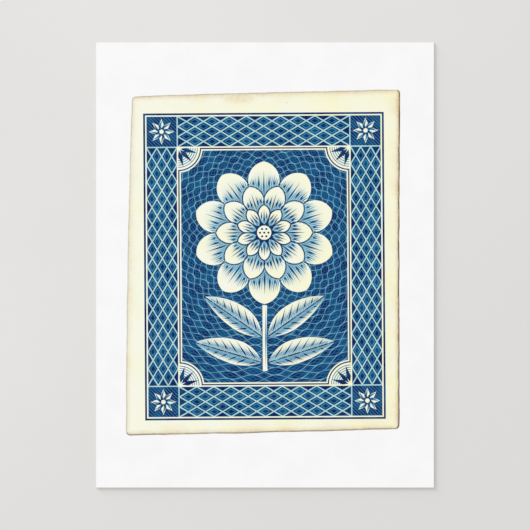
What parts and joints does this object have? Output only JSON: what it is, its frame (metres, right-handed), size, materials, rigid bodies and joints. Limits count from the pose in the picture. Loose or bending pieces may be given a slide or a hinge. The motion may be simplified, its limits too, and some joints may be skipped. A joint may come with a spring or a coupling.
{
  "type": "postcard",
  "caption": "Flat portrait picture postcard of bonded paper board, with a framed floral print on the face and a divided writing side on the back.",
  "frame": {"origin": "middle of the back face, where the card rests", "axes": "+X to the picture's right, +Y to the picture's top, +Z out of the picture side"},
  "size_m": [0.108, 0.1422, 0.0005],
  "materials": {
    "uncoated_board": "uncoated, faintly fibrous",
    "core_board": "bare cut edge",
    "face_board": "bare cut edge",
    "matte_coating": "matte, eggshell",
    "grey_ink": "matte ink soaked into the board",
    "cream_ink": "matte ink film, mottled",
    "toned_ink": "matte ink film, broken",
    "blue_ink": "matte ink film, slightly uneven"
  },
  "bodies": {
    "root": {"back_ply": "uncoated_board", "core_ply": "core_board", "face_ply": "face_board", "face_coating": "matte_coating", "divider_line": "grey_ink", "address_lines": "grey_ink", "postage_box": "grey_ink", "cream_tint": "cream_ink", "edge_toning": "toned_ink", "outer_rule": "blue_ink", "lattice_cells": "blue_ink", "corner_blocks": "blue_ink", "inner_rule": "blue_ink", "corner_fans": "blue_ink", "panel_ground": "blue_ink", "petal_strokes": "blue_ink", "disc_stipple": "blue_ink", "leaf_veins": "blue_ink"}
  },
  "joints": []
}
